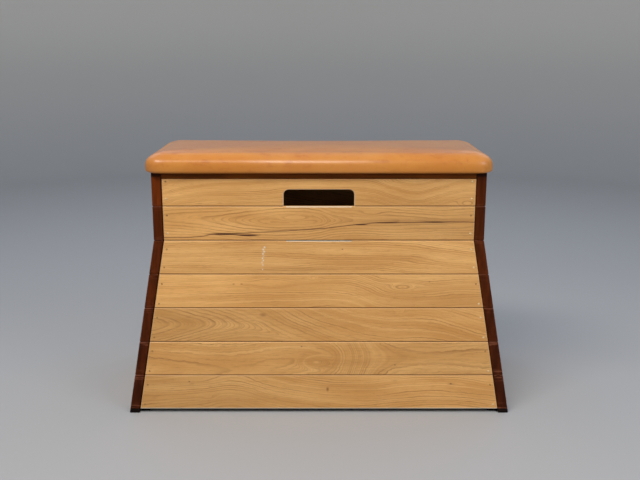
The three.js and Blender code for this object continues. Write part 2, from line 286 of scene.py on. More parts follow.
FRONT_FIGURES = {
    "lid": Figure(
        ring=0.0058, depth=0.06, tones=(1.18, 1.06),
        heart=((-0.65, -0.245), (-0.55, -0.22), (-0.3, -0.20), (0.1, -0.195), (0.22, -0.20), (0.30, -0.222),
               (0.40, -0.24), (0.47, -0.225), (0.58, -0.198), (0.66, -0.195)),
        eyes=((0.605, -0.043, 0.10, 0.042, 0.0), (0.605, -0.043, 0.08, 0.034, 3.0),
              (-0.60, 0.033, 0.05, 0.018, 1.0)),
    ),
    "tier_2": Figure(
        ring=0.0085, depth=0.035, tones=(1.22, 1.03),
        heart=((-0.65, 0.022), (0.65, 0.012)),
        climb=((-0.65, 0.030), (-0.43, 0.021), (-0.25, 0.006), (-0.095, 0.0), (0.0, 0.006), (0.06, 0.018),
               (0.3, 0.026), (0.65, 0.032)),
        eyes=((-0.1, 0.024, 0.16, 0.030, 1.5), (0.215, 0.046, 0.08, 0.020, 1.5)),
        shades=((0.36, 0.011, 0.42, 0.016, 0.34), (-0.10, -0.024, 0.30, 0.012, 0.2)),
    ),
    "tier_3": Figure(
        ring=0.008, depth=0.05, tones=(1.05, 1.08),
        heart=((-0.65, -0.28), (0.1, -0.28), (0.335, -0.292), (0.65, -0.335)),
        knots=((0.097, 0.034, 0.004),),
        shades=((-0.13, -0.051, 0.42, 0.017, 0.3),),
    ),
    "tier_4": Figure(
        ring=0.0085, depth=0.07, tones=(1.17, 1.06),
        heart=((-0.65, -0.23), (-0.1, -0.22), (0.1, -0.215), (0.3, -0.27), (0.65, -0.27)),
        eyes=((-0.335, 0.030, 0.08, 0.030, 0.0), (-0.20, 0.034, 0.14, 0.040, 0.0),
              (-0.20, 0.032, 0.12, 0.030, 1.0), (-0.022, 0.055, 0.03, 0.014, 2.5),
              (0.345, 0.018, 0.14, 0.044, 0.0), (0.345, 0.018, 0.08, 0.024, 2.0)),
        shades=((-0.352, 0.030, 0.008, 0.006, 0.5), (-0.319, 0.030, 0.008, 0.006, 0.55),
                (0.456, 0.040, 0.006, 0.005, 0.6)),
    ),
    "tier_5": Figure(
        ring=0.012, depth=0.022, tones=(0.95, 1.12), flame=0.008,
        heart=((-0.7, 0.0), (-0.3, 0.0), (-0.1, -0.06), (0.07, -0.12), (0.275, -0.165), (0.46, -0.17),
               (0.7, -0.23)),
        climb=((-0.7, 0.0), (-0.55, 0.03), (-0.32, 0.085), (-0.1, 0.11), (0.7, 0.12)),
        eyes=((0.334, 0.055, 0.06, 0.02, 1.2),),
        shades=((-0.231, 0.042, 0.022, 0.012, 0.5),),
    ),
    "tier_6": Figure(
        ring=0.0065, depth=0.12, tones=(1.07, 0.99), flame=0.016,
        heart=((-0.7, -0.05), (-0.37, -0.04), (-0.15, -0.015), (0.2, 0.0), (0.7, 0.0)),
        climb=((-0.7, 0.0), (-0.37, 0.01), (0.03, 0.024), (0.07, 0.034), (0.23, 0.135), (0.28, 0.150),
               (0.34, 0.158), (0.7, 0.160)),
        eyes=((-0.01, -0.014, 0.09, 0.040, 4.0),),
        knots=((-0.072, 0.051, 0.004), (0.315, -0.026, 0.004)),
    ),
    "tier_7": Figure(
        ring=0.0085, depth=0.05, tones=(0.98, 1.15),
        heart=((-0.75, -0.13), (-0.5, -0.11), (-0.35, -0.09), (-0.2, -0.13), (-0.05, -0.16), (0.11, -0.175),
               (0.5, -0.155), (0.75, -0.18)),
        eyes=((-0.46, -0.02, 0.07, 0.024, 0.8),),
        knots=((-0.538, 0.044, 0.004), (0.547, 0.035, 0.005)),
        shades=((0.036, 0.012, 0.009, 0.014, 0.8), (0.55, 0.034, 0.03, 0.008, 0.3)),
    ),
}

# Limits of the figures that are drawn for boards that don't show
DRAWN_HEIGHT, HEART_WAVER, DRAWN_CLIMB, CLIMB_WAVER = (0.0, 0.2), (-0.03, 0.03), (0.0, 0.12), (0, 0.01)
STATIONS = (-0.7, -0.25, 0.2, 0.7)
DRAWN_RING, DRAWN_DEPTH, DRAWN_TONE = (0.008, 0.012), (0.05, 0.14), (0.98, 1.12)
DRAWN_EYE = ((-0.6, 0.6), (-0.04, 0.04), (0.04, 0.12), (0.015, 0.03), (1.5, 3.0))
DRAWN_KNOT = ((-0.6, 0.6), (-0.05, 0.05), (0.003, 0.006))


def drawn_marks(draw, limits, fewest, most):
    """A few marks, each with its numbers drawn between limits."""
    return tuple(tuple(draw.uniform(*pair) for pair in limits) for _ in range(draw.randint(fewest, most)))


def drawn_figure(draw):
    """A figure for a board that the photograph doesn't show."""
    heart_height = draw.choice((-1, 1)) * draw.uniform(*DRAWN_HEIGHT)
    climbs = draw.uniform(*DRAWN_CLIMB)
    return Figure(
        ring=draw.uniform(*DRAWN_RING),
        depth=draw.uniform(*DRAWN_DEPTH),
        heart=tuple((x, heart_height + draw.uniform(*HEART_WAVER)) for x in STATIONS),
        climb=tuple((x, climbs * (x + FIGURE_HALF_LENGTH) + draw.uniform(*CLIMB_WAVER)) for x in STATIONS),
        eyes=drawn_marks(draw, DRAWN_EYE, fewest=1, most=3),
        knots=drawn_marks(draw, DRAWN_KNOT, fewest=0, most=2),
        tones=(draw.uniform(*DRAWN_TONE), draw.uniform(*DRAWN_TONE)),
    )


def along_curve(tree, along, points):
    """A smooth curve through (place, value) points along a board."""
    reach = {"Value": along, "From Min": -FIGURE_HALF_LENGTH, "From Max": FIGURE_HALF_LENGTH}
    curve = add(tree, "FloatCurve", {"Value": add(tree, "MapRange", reach, interpolation_type="LINEAR")})
    drawn = curve.mapping.curves[0].points

    # A curve runs from 0 to 1 both ways, so a value of nothing is drawn at 0.5
    shares = [((x / FIGURE_HALF_LENGTH + 1) / 2, value + 0.5) for x, value in points]
    drawn[0].location = (0.0, shares[0][1])
    drawn[1].location = (1.0, shares[-1][1])
    for place in shares:
        drawn.new(*place)
    curve.mapping.update()
    return add(tree, "Math", [curve, 0.5], operation="SUBTRACT")


def curve_value(points, x):
    """The value of (place, value) points at a place between them."""
    if not points:
        return 0.0
    before = max([points[0], *(p for p in points if p[0] <= x)])
    after = min([points[-1], *(p for p in points if p[0] >= x)])
    share = (x - before[0]) / (after[0] - before[0]) if after[0] > before[0] else 0.0
    return before[1] + share * (after[1] - before[1])


# The trunk's bends and ripples, along, through and up a board, and how far they move its rings.
# How far the short flame does is the figure's own.
BENDS, BEND_REACH = Pattern((1.6, 7.0, 8.0)), 50 * MM
RIPPLES, RIPPLE_REACH = Pattern((9.0, 25.0, 30.0), seed=5), 7 * MM
FLAMES = Pattern((28.0, 60.0, 80.0), seed=6)
# The part of a ring that is pale, where an eye's middle lies
PALE_SHARE = 0.3


def growth_rings(tree, local, figure, seed):
    """How many rings a point lies from its trunk's heart, and how steeply the face cuts them."""
    axes = add(tree, "SeparateXYZ", [local])
    height = axes.outputs["Z"]
    wavers = ((BENDS, BEND_REACH), (RIPPLES, RIPPLE_REACH), (FLAMES, figure.flame))
    for pattern, reach in wavers:
        noise = noisy(tree, local, pattern, seed)
        height = add(tree, "Math", [noise, reach, height], operation="MULTIPLY_ADD")
    mean_shift = sum(reach for _, reach in wavers) / 2
    heart = along_curve(tree, axes.outputs["X"], [(x, z + mean_shift) for x, z in figure.heart])
    above = add(tree, "Math", [height, heart], operation="SUBTRACT")
    behind = add(tree, "Math", [axes.outputs["Y"], figure.depth])
    across = add(tree, "CombineXYZ", {"Y": behind, "Z": above})
    radius = add(tree, "VectorMath", [across], operation="LENGTH")
    off_heart = add(tree, "Math", [above], operation="ABSOLUTE")
    steepness = add(tree, "Math", [off_heart, radius], operation="DIVIDE")
    if figure.climb:
        radius = add(tree, "Math", [radius, along_curve(tree, axes.outputs["X"], figure.climb)])
    rings = add(tree, "Math", [radius, figure.ring], operation="DIVIDE")

    # The rings level out towards the middle of an eye, which is pale, and close round it
    for x, z, half_length, half_height, count in figure.eyes:
        middle = math.hypot(figure.depth, z - curve_value(figure.heart, x)) + curve_value(figure.climb, x)
        level = math.floor(middle / figure.ring + count) + PALE_SHARE
        rise = add(tree, "Math", [level, rings], operation="SUBTRACT")
        near = spot(tree, local, x, z, half_length, half_height)
        rings = add(tree, "Math", [rise, near, rings], operation="MULTIPLY_ADD")
    return rings, steepness


# A ring's dark line sets in and ends at these parts of the ring. It is weaker where its own chance
# or a patch makes it so, and where the saw ran along the rings.
RING_RISE, RING_FALL, LINE_STRENGTH = (0.45, 0.9), (0.92, 1.0), 0.66
WEAKEST_LINE = 0.25
LINE_PATCHES = Pattern((3.0, 15.0, 15.0), (0.35, 0.62), (0.35, 1.0), seed=9)
ALONG_SAW, ALONG_SAW_STRENGTH = 0.5, 0.5
# Finer rings, 3.3 to each strong one, in patches
FINE_RINGS, FINE_RISE, FINE_FALL, FINE_STRENGTH = 3.3, (0.5, 0.95), (0.95, 1.0), 0.45
FINE_PATCHES = Pattern((2.0, 20.0, 22.0), (0.42, 0.6), seed=15)
# Bands about three rings wide, and slow patches, of the deeper tone
BANDS, BAND_FADE, BAND_STRENGTH = {"Scale": 0.32, "Detail": 2.0}, (0.35, 0.68), 0.34
TONE_PATCHES = Pattern((2.2, 8.0, 10.0), (0.3, 0.7), (0.06, 0.56), seed=7)
# Pores are 38 mm long and 2.4 mm wide, and fibres 140 mm and 5 mm, which is coarser than real oak,
# where they would be too fine to show
PORES = Pattern((26.0, 420.0, 420.0), (0.55, 0.72), (0.0, 0.30), detail=3.0)
FIBRES = Pattern((7.0, 190.0, 190.0), (0.48, 0.70), (0.0, 0.40), detail=3.0, seed=2)


def sawn_oak(tree, local, figure, timber, seed):
    """The colour of clean oak, with its ring lines and its fibres."""
    rings, steepness = growth_rings(tree, local, figure, seed)

    # Each ring is pale wood that ends in a dark line
    ring_number = add(tree, "Math", [rings], operation="FLOOR")
    ring_share = add(tree, "Math", [rings], operation="FRACT")
    chance = add(tree, "TexWhiteNoise", {"W": ring_number}, noise_dimensions="1D").outputs["Value"]
    line = joined(tree, [
        add(tree, "MapRange", [ring_share, *RING_RISE]),
        add(tree, "MapRange", [ring_share, *RING_FALL, 1.0, 0.0]),
        add(tree, "MapRange", [chance, 0.0, 1.0, WEAKEST_LINE, 1.0]),
        patchy(tree, local, LINE_PATCHES, seed),
        add(tree, "MapRange", [steepness, 0.0, ALONG_SAW, ALONG_SAW_STRENGTH, 1.0]),
    ], "MULTIPLY")

    # Finer rings lie between the strong ones
    fine_rings = add(tree, "Math", [rings, FINE_RINGS], operation="MULTIPLY")
    fine_share = add(tree, "Math", [fine_rings], operation="FRACT")
    fine = joined(tree, [
        add(tree, "MapRange", [fine_share, *FINE_RISE, 0.0, FINE_STRENGTH]),
        add(tree, "MapRange", [fine_share, *FINE_FALL, 1.0, 0.0]),
        patchy(tree, local, FINE_PATCHES, seed),
    ], "MULTIPLY")
    line = add(tree, "Math", [line, fine], operation="MAXIMUM")

    # The wood's own tone, under the lines, short pores and fibres
    band = add(tree, "TexNoise", {"W": rings, **BANDS}, noise_dimensions="1D")
    band = add(tree, "MapRange", [band, *BAND_FADE])
    patches = patchy(tree, local, TONE_PATCHES, seed)
    fibre = noisy(tree, local, FIBRES, seed)
    colour = opaque(timber.pale_wood)
    for share, over in (
            (add(tree, "Math", [band, BAND_STRENGTH, patches], operation="MULTIPLY_ADD"), timber.warm_wood),
            (add(tree, "Math", [line, LINE_STRENGTH], operation="MULTIPLY"), timber.ring_line),
            (patchy(tree, local, PORES, seed), timber.ring_line),
            (add(tree, "MapRange", [fibre, *FIBRES.fade, *FIBRES.shares]), timber.warm_wood)):
        colour = add(tree, "Mix", [share, colour, opaque(over)])
    return colour, line, fibre


# Places of the boards

Place = namedtuple("Place", "centre rotation half_length half_height end_slope")


def turned_box(node, turn):
    """A node's lowest and highest corners after it is turned back to the front."""
    back = Matrix.Rotation(-turn, 3, "Z")
    first, second = (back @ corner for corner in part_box(node))
    return Vector(map(min, first, second)), Vector(map(max, first, second))


def flare(side):
    """How far the flared tiers of a side lean inwards for each metre up."""
    turn = SIDE_TURNS[side]
    upper, lower = (turned_box(f"{tier}_{side}", turn)[0] for tier in (FIRST_FLARED, BASE))
    return (upper.y - lower.y) / (upper.z - lower.z)


def board_place(tier, side):
    """Where a board's outer face is, with +X to the right and +Z up as seen from outside."""
    turn = SIDE_TURNS[side]
    low, high = turned_box(f"{tier}_{side}", turn)
    upright = tier in UPRIGHT
    slope = 0.0 if upright else flare(side)
    neighbour = "right_end_board" if side in LONG_SIDES else "front_board"
    half_height = (high.z - low.z) / 2
    centre = Vector((0.0, low.y + slope * half_height, low.z + half_height))
    return Place(
        centre=Matrix.Rotation(turn, 3, "Z") @ centre,
        rotation=Euler((-math.atan(slope), 0.0, turn)),
        half_length=high.x,
        half_height=half_height / math.cos(math.atan(slope)),
        end_slope=0.0 if upright else flare(neighbour),
    )


# Wear of the boards

BEVEL_HALF_LENGTH, BEVEL_HEIGHT, BEVEL_DEPTH, BEVEL_RIM = 134 * MM, 4 * MM, 5 * MM, 1 * MM
BEVELLED = ("tier_2", "tier_3")
SLOT_HALF_LENGTH, SLOT_HEIGHT, SLOT_CORNER, SLOT_RUB = 144 * MM, 69 * MM, 22 * MM, 0.4
# Wear and dirt set in and are full at these distances from a board's edge
ARRIS_SHINE, END_RUB, TOP_RUB = (4 * MM, 2 * MM), 0.7, 0.4
DIRT_REACH, DIRT_STRENGTH = (4.5 * MM, 2.7 * MM), 0.95
FOOT_SCUFF = (5 * MM, 3 * MM)
# How long a knot is for its height
KNOT_SHARE, KNOT_STRENGTH = 1.5, 0.7
# The drying split's course, how it wanders, its dark line and the slivers where it stands open
SPLIT_PATH = (
    (-0.63, -0.058), (-0.485, -0.054), (-0.44, -0.046), (-0.32, -0.040), (0.027, -0.019), (0.15, -0.0047),
    (0.252, 0.0035), (0.4365, 0.0055), (0.518, 0.0076), (0.641, 0.0055))
SPLIT_WAVES, SPLIT_WANDER = Pattern((30.0, 60.0, 90.0), seed=3), 3 * MM
SPLIT_WIDTH, SPLIT_STRENGTH = (0.4 * MM, 3 * MM), 0.75
SPLIT_SLIVERS = (
    (-0.383, -0.0437, 0.105, 0.0066), (-0.292, -0.049, 0.070, 0.0056), (0.17, -0.004, 0.045, 0.0042),
    (0.275, 0.0035, 0.090, 0.0036), (0.475, 0.0065, 0.085, 0.0044))
SLIVER_STRENGTH = 1.6
# Flecks of chalk in a zigzag down the third board
CHALK_COUNT, CHALK_TOP, CHALK_STEP, CHALK_SWING = 11, (-0.2265, 0.042), (-0.0008, -0.009), 0.0022
CHALK_SIZE, CHALK_TAPER = (0.0075, 0.0065), 0.0004
CHALK_FLECKS = tuple(
    (CHALK_TOP[0] + CHALK_STEP[0] * n + CHALK_SWING * (-1) ** n, CHALK_TOP[1] + CHALK_STEP[1] * n,
     CHALK_SIZE[0] - CHALK_TAPER * n, CHALK_SIZE[1])
    for n in range(CHALK_COUNT))
CHALK_GRIT = Pattern((120.0, 40.0, 160.0), (0.3, 0.55))


def split_mask(tree, local):
    """The drying split of the second board: a thin dark line that opens in a few places."""
    rough = noisy(tree, local, SPLIT_WAVES)
    axes = add(tree, "SeparateXYZ", [local])
    path = along_curve(tree, axes.outputs["X"], SPLIT_PATH)
    off_path = add(tree, "Math", [axes.outputs["Z"], path], operation="SUBTRACT")
    off_path = add(tree, "Math", [rough, SPLIT_WANDER, off_path], operation="MULTIPLY_ADD")
    off_path = add(tree, "Math", [off_path, SPLIT_WANDER / 2], operation="SUBTRACT")
    distance = add(tree, "Math", [off_path], operation="ABSOLUTE")
    line = add(tree, "MapRange", [distance, *SPLIT_WIDTH, SPLIT_STRENGTH, 0.0])
    slivers = [spot(tree, local, *sliver, SLIVER_STRENGTH) for sliver in SPLIT_SLIVERS]
    return joined(tree, [line, *slivers], "MAXIMUM")


def board_marks(tier, side):
    """What was cut into a board or has happened to it."""
    marks = {
        "finger_bevel": tier in BEVELLED and side in LONG_SIDES,
        "hand_slot": tier == "lid" and side in LONG_SIDES,
        "split": (tier, side) == ("tier_2", "front_board"),
        "chalk": (tier, side) == ("tier_3", "front_board"),
        "scuffed_foot": tier == BASE,
    }
    return {mark for mark, present in marks.items() if present}


def bare_places(tree, axes, from_middle, place, marks, local, seed):
    """Where a board's wood is bare or chalky, as one share for each of its marks."""
    height = axes.outputs["Z"]
    top, foot = place.half_height, -place.half_height
    if "hand_slot" in marks:
        beyond = [
            add(tree, "Math", [from_middle, SLOT_HALF_LENGTH - SLOT_CORNER], operation="SUBTRACT"),
            add(tree, "Math", [height, foot + SLOT_HEIGHT - SLOT_CORNER], operation="SUBTRACT"),
        ]
        beyond = [add(tree, "Math", [b, 0.0], operation="MAXIMUM") for b in beyond]
        across = add(tree, "CombineXYZ", beyond)
        off_corner = add(tree, "VectorMath", [across], operation="LENGTH")
        rim = (SLOT_CORNER + reach for reach in reversed(ARRIS_SHINE))
        yield add(tree, "MapRange", [off_corner, *rim, SLOT_RUB, 0.0])
    if "finger_bevel" in marks:
        yield joined(tree, [
            add(tree, "MapRange", [
                from_middle, BEVEL_HALF_LENGTH - BEVEL_RIM, BEVEL_HALF_LENGTH + BEVEL_RIM, 1.0, 0.0]),
            add(tree, "MapRange", [height, top - BEVEL_HEIGHT, top - BEVEL_HEIGHT + BEVEL_RIM]),
            add(tree, "MapRange", [axes.outputs["Y"], BEVEL_DEPTH - BEVEL_RIM, BEVEL_DEPTH, 1.0, 0.0]),
        ], "MULTIPLY")
    if "chalk" in marks:
        flecks = [spot(tree, local, *fleck) for fleck in CHALK_FLECKS]
        drawn = joined(tree, flecks, "MAXIMUM")
        yield add(tree, "Math", [drawn, patchy(tree, local, CHALK_GRIT, seed)], operation="MULTIPLY")
    if "scuffed_foot" in marks:
        yield add(tree, "MapRange", [height, *(foot + reach for reach in FOOT_SCUFF)])


# The varnish is duller over the fibres, and the ring lines are a little sunk
VARNISH_GLOSS, VARNISH_IOR = (0.3, 0.7, 0.38, 0.52), 1.5
LINE_RELIEF, OAK_RELIEF = -0.5, {"Distance": 0.3 * MM, "Strength": 0.35}


def board_wood(name, place, figure, timber, marks):
    """Flat-sawn oak under satin varnish: ring lines and short pores show through a soft gloss."""
    material, tree, shader, shared = new_material(name)
    seed = random.Random(name).uniform(*SEED_LIMITS)
    outer_face = {"Vector": shared, "Location": place.centre, "Rotation": place.rotation}
    local = add(tree, "Mapping", outer_face, vector_type="TEXTURE")
    colour, line, fibre = sawn_oak(tree, local, figure, timber, seed)
    for shade in figure.shades:
        colour = add(tree, "Mix", [spot(tree, local, *shade), colour, opaque(timber.ring_line)])

    # A board is paler towards one end
    axes = add(tree, "SeparateXYZ", [local])
    paleness = add(tree, "MapRange", [axes.outputs["X"], -TONE_REACH, TONE_REACH, *figure.tones])
    colour = add(tree, "Mix", [1.0, colour, paleness], blend_type="MULTIPLY")

    # Dirt gathers under a board, and the varnish is thin on its top and end arrises
    height = axes.outputs["Z"]
    from_middle = add(tree, "Math", [axes.outputs["X"]], operation="ABSOLUTE")
    flared = add(tree, "Math", [height, place.end_slope, from_middle], operation="MULTIPLY_ADD")
    end, top = place.half_length - place.end_slope * place.half_height, place.half_height
    rubbed = joined(tree, [
        add(tree, "MapRange", [flared, *(end - reach for reach in ARRIS_SHINE), 0.0, END_RUB]),
        add(tree, "MapRange", [height, *(top - reach for reach in ARRIS_SHINE), 0.0, TOP_RUB]),
    ], "MAXIMUM")
    colour = add(tree, "Mix", [rubbed, colour, opaque(timber.rubbed_wood)])
    if "scuffed_foot" not in marks:
        dirt = add(tree, "MapRange", [height, *(reach - top for reach in DIRT_REACH), 0.0, DIRT_STRENGTH])
        colour = add(tree, "Mix", [dirt, colour, opaque(timber.grime)])
    dark = [spot(tree, local, x, z, KNOT_SHARE * size, size, KNOT_STRENGTH) for x, z, size in figure.knots]
    if "split" in marks:
        dark.append(split_mask(tree, local))
    if dark:
        colour = add(tree, "Mix", [joined(tree, dark, "MAXIMUM"), colour, opaque(timber.knot)])
    for share in bare_places(tree, axes, from_middle, place, marks, local, seed):
        colour = add(tree, "Mix", [share, colour, opaque(timber.bare_wood)])

    gloss = add(tree, "MapRange", [fibre, *VARNISH_GLOSS])
    relief = add(tree, "Math", [line, LINE_RELIEF, fibre], operation="MULTIPLY_ADD")
    bump = add(tree, "Bump", {"Height": relief, **OAK_RELIEF})
    feed(tree, shader, {"Base Color": colour, "Roughness": gloss, "Normal": bump, "IOR": VARNISH_IOR})
    return material


# Stain of the posts and rails

# These patterns have waves along the grain and across it. A streak is 110 mm long and 4 mm wide.
CLOUDED, CLOUDED_TONES = Pattern((4.0, 44.0), (0.3, 0.7)), (0.72, 1.25)
STREAKED, STREAK_TONE = Pattern((9.0, 249.0), (0.45, 0.75), (0.0, 0.5), detail=3.0, seed=4), 0.45
# How dark the painted shade makes the stain
PAINTED_SHADE_TONE = 0.2
STAIN_GLOSS, STAIN_SPECULAR, STAIN_RELIEF = (0.45, 0.6), 0.08, {"Distance": 0.25 * MM, "Strength": 0.3}


def stained_wood(name, timber, base, along="Z", wear_and_shade=None):
    """Beech under a dark stain and rubbed varnish: fine upright streaks, paler rubbed arrises and painted
    shade.
    """
    material, tree, shader, shared = new_material(name)
    seed = random.Random(name).uniform(*SEED_LIMITS)
    clouded, streaked = (
        pattern._replace(waves=[pattern.waves[axis != along] for axis in "XYZ"])
        for pattern in (CLOUDED, STREAKED))
    broad, streak = noisy(tree, shared, clouded, seed), noisy(tree, shared, streaked, seed)
    tones = [opaque(base * tone) for tone in CLOUDED_TONES]
    colour = add(tree, "Mix", [add(tree, "MapRange", [broad, *CLOUDED.fade]), *tones])
    streaks = add(tree, "MapRange", [streak, *STREAKED.fade, *STREAKED.shares])
    colour = add(tree, "Mix", [streaks, colour, opaque(base * STREAK_TONE)])
    if wear_and_shade is not None:
        rubbed, painted_shade, foot = wear_and_shade(tree, shared, seed)
        colour = add(tree, "Mix", [rubbed, colour, opaque(timber.worn_stain)])
        # Painted shade darkens the stain where the wear function puts it
        colour = add(tree, "Mix", [painted_shade, colour, opaque(base * PAINTED_SHADE_TONE)])
        if foot is not None:
            colour = add(tree, "Mix", [foot, colour, opaque(timber.foot_dirt)])
    gloss = add(tree, "MapRange", [broad, *CLOUDED.fade, *STAIN_GLOSS])
    bump = add(tree, "Bump", {"Height": streak, **STAIN_RELIEF})
    feed(tree, shader, {
        "Base Color": colour, "Roughness": gloss, "Normal": bump, "Specular IOR Level": STAIN_SPECULAR})
    return material


# Wear and painted shade of the posts

# Wear is full and has faded out at these distances from the post's arris, its top or its ends
ARRIS_WEAR, ARRIS_RUB = (2 * MM, 4 * MM), 0.45
END_WEAR, END_GRAIN_RUB = (1.2 * MM, 3 * MM), 0.75
RUBBED_PATCHES = Pattern((30.0, 30.0, 22.0), (0.38, 0.6), detail=3.0)
SCUFF_STROKES, SCUFF_REACH = Pattern((14.0, 14.0, 240.0), (0.53, 0.64), seed=3), (9 * MM, 30 * MM)
SCUFFED_POSTS, SCUFFED_STRENGTH, SCUFF_STRENGTH = ("tier_6", "tier_7"), 0.9, 0.25
# Painted shade sets in and is full at these distances from the boards, in the corner where a post meets
# them, on the left posts and the right ones
POST_FACE, CORNER_SHADE_WIDTHS, CORNER_SHADE = 42 * MM, (7 * MM, 2.8 * MM), {-1: 0.85, 1: 0.4}
# The top of the lid's posts is darkened close under the leather: a painted shadow of its overhang
LEATHER_SHADOW_REACH, LEATHER_SHADOW_STRENGTH = (14 * MM, 21 * MM), 0.9
# Floor dirt is full and has faded out at these heights
FOOT_HEIGHTS, FOOT_STRENGTH = (17 * MM, 19.55 * MM), 0.95
# How pale the stain of each front post is, from the left and the right of the photograph
FRONT_STAIN_TONES = {
    tier: dict(zip(("front_left_post", "front_right_post"), tones))
    for tier, tones in zip(
        TIERS, ((1.25, 0.66), (0.75, 0.66), (0.87, 0.92), (0.95, 0.95), (1.0, 0.9), (1.0, 1.0), (1.2, 1.08)))
}
# The other posts' tones are drawn between these
DRAWN_STAIN_TONE = (0.8, 1.15)


def post_wear_and_shade(tier, post):
    """A post's rubbed places, its painted shade and its dirty foot, as a function that adds the nodes."""
    end_side, face_side = POSTS[post]
    board_low, board_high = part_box(f"{tier}_front_board")
    end_low, end_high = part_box(f"{tier}_right_end_board")
    end_slope, face_slope = (
        0.0 if tier in UPRIGHT else flare(side) for side in ("right_end_board", "front_board"))
    planes = (
        ((end_side, 0, end_slope), end_high.x + end_slope * end_low.z),
        ((0, face_side, face_slope), -board_low.y + face_slope * board_low.z),
    )
    top_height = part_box(f"{tier}_{post}")[1].z if tier == "lid" else board_high.z

    def add_wear_and_shade(tree, shared, seed):
        depths = []
        for normal, reach in planes:
            outwards = add(tree, "VectorMath", [shared, normal], operation="DOT_PRODUCT")
            depths.append(add(tree, "Math", [reach, outwards], operation="SUBTRACT"))
        corner = joined(tree, depths, "MAXIMUM")
        height = add(tree, "SeparateXYZ", [shared]).outputs["Z"]
        to_top = add(tree, "Math", [top_height, height], operation="SUBTRACT")
        to_foot = add(tree, "Math", [height, board_low.z], operation="SUBTRACT")

        # Arrises and end grain are rubbed pale in patches, and the ends are scuffed
        arris = add(tree, "MapRange", [corner, *ARRIS_WEAR, ARRIS_RUB, 0.0])
        top = add(tree, "MapRange", [to_top, *END_WEAR, END_GRAIN_RUB, 0.0])
        rubbed = add(tree, "Math", [arris, top], operation="MAXIMUM")
        patches = patchy(tree, shared, RUBBED_PATCHES, seed)
        rubbed = add(tree, "Math", [rubbed, patches], operation="MULTIPLY")
        to_end = add(tree, "Math", [to_top, to_foot], operation="MINIMUM")
        strength = SCUFFED_STRENGTH if tier in SCUFFED_POSTS else SCUFF_STRENGTH
        near_joint = add(tree, "MapRange", [to_end, *SCUFF_REACH, strength, 0.0])
        strokes = patchy(tree, shared, SCUFF_STROKES, seed)
        scuffs = add(tree, "Math", [strokes, near_joint], operation="MULTIPLY")
        rubbed = add(tree, "Math", [rubbed, scuffs], operation="MAXIMUM")

        # Painted shade in the corner where the post meets the boards
        beside_board = (POST_FACE - width for width in CORNER_SHADE_WIDTHS)
        painted_shade = add(tree, "MapRange", [corner, *beside_board, 0.0, CORNER_SHADE[end_side]])
        foot = None
        if tier == "lid":
            # A painted shadow of the leather's overhang darkens the top of the lid's posts, and no rubbing
            # shows in it
            leather_shadow = add(tree, "MapRange", [to_top, *LEATHER_SHADOW_REACH, LEATHER_SHADOW_STRENGTH, 0.0])
            painted_shade = add(tree, "Math", [painted_shade, leather_shadow], operation="MAXIMUM")
            rubbed = add(tree, "Math", [rubbed, leather_shadow], operation="SUBTRACT", use_clamp=True)
        if tier == BASE:
            foot = add(tree, "MapRange", [height, *FOOT_HEIGHTS, FOOT_STRENGTH, 0.0])
        return rubbed, painted_shade, foot

    return add_wear_and_shade


# Finish of the deck, the leather, the padding and the screws

# The figure is 830 mm long and 200 mm wide, and fibres are 170 mm long and 6 mm wide
PLY_WARP, PLY_RINGS, PLY_LINE = Pattern((1.2, 5.0, 3.0), seed=4), 14.0, (0.3, 0.95)
PLY_FIBRES = Pattern((6.0, 160.0, 160.0), (0.45, 0.8), (0.0, 0.4), detail=3.0, seed=2)
PLY_TONES, PLY_FIBRE_TONE = ("#CDB084", "#B59060"), "#96703F"


def plywood(name):
    """Birch plywood, rotary cut: broad pale cathedral grain with little gloss."""
    material, tree, shader, shared = new_material(name)
    rings = add(tree, "Math", [noisy(tree, shared, PLY_WARP), PLY_RINGS], operation="MULTIPLY")
    ring_share = add(tree, "Math", [rings], operation="FRACT")
    tones = [opaque(linear(tone)) for tone in PLY_TONES]
    colour = add(tree, "Mix", [add(tree, "MapRange", [ring_share, *PLY_LINE]), *tones])
    fibres = patchy(tree, shared, PLY_FIBRES)
    colour = add(tree, "Mix", [fibres, colour, opaque(linear(PLY_FIBRE_TONE))])
    feed(tree, shader, {"Base Color": colour, "Roughness": 0.65})
    return material


# The roll shines most in its middle and at its corners, between these distances from the middle
SHINY_MIDDLE, MIDDLE_SHINE = (0.17, 0.34), (0.75, 0.25)
SHINY_CORNERS, CORNER_SHINE = (0.60, 0.66), (0.0, 0.8)
# The flat top sets in and is reached at these depths under the highest point. Painted shade darkens and
# greys the top.
FLAT_TOP, PAINTED_TOP_SHADE = (14 * MM, 7 * MM), (0.90, 0.87, 0.87)
# Clouds are 200 mm wide, blotches 40 mm, creases 12 mm along the box and 56 mm down it, and the
# grain's pebbles 2.4 mm, which is coarser than a real hide's, so that they show
CLOUDS, CLOUD_FADE = {"Scale": 5.0, "Detail": 4.0, "Distortion": 0.6}, (0.35, 0.7)
BLOTCHES = Pattern((24.0, 24.0, 44.0), (0.50, 0.84), (0.0, 0.5), detail=4.0, seed=8)
PEBBLES, PEBBLE_RISE = 420.0, (0.0, 0.25)
CREASES = Pattern((85.0, 40.0, 18.0), (0.6, 0.72), detail=3.0, seed=5)
CREASED_PLACES = Pattern((6.0, 6.0, 6.0), (0.55, 0.7), detail=1.0, seed=12)
CREASE_STRENGTH, CREASE_DEPTH = 0.35, -3.0
HIDE_FINISH = {"Roughness": 0.5, "Specular IOR Level": 0.15, "Coat Roughness": 0.25}
HIDE_RELIEF = {"Distance": 0.25 * MM, "Strength": 0.4}


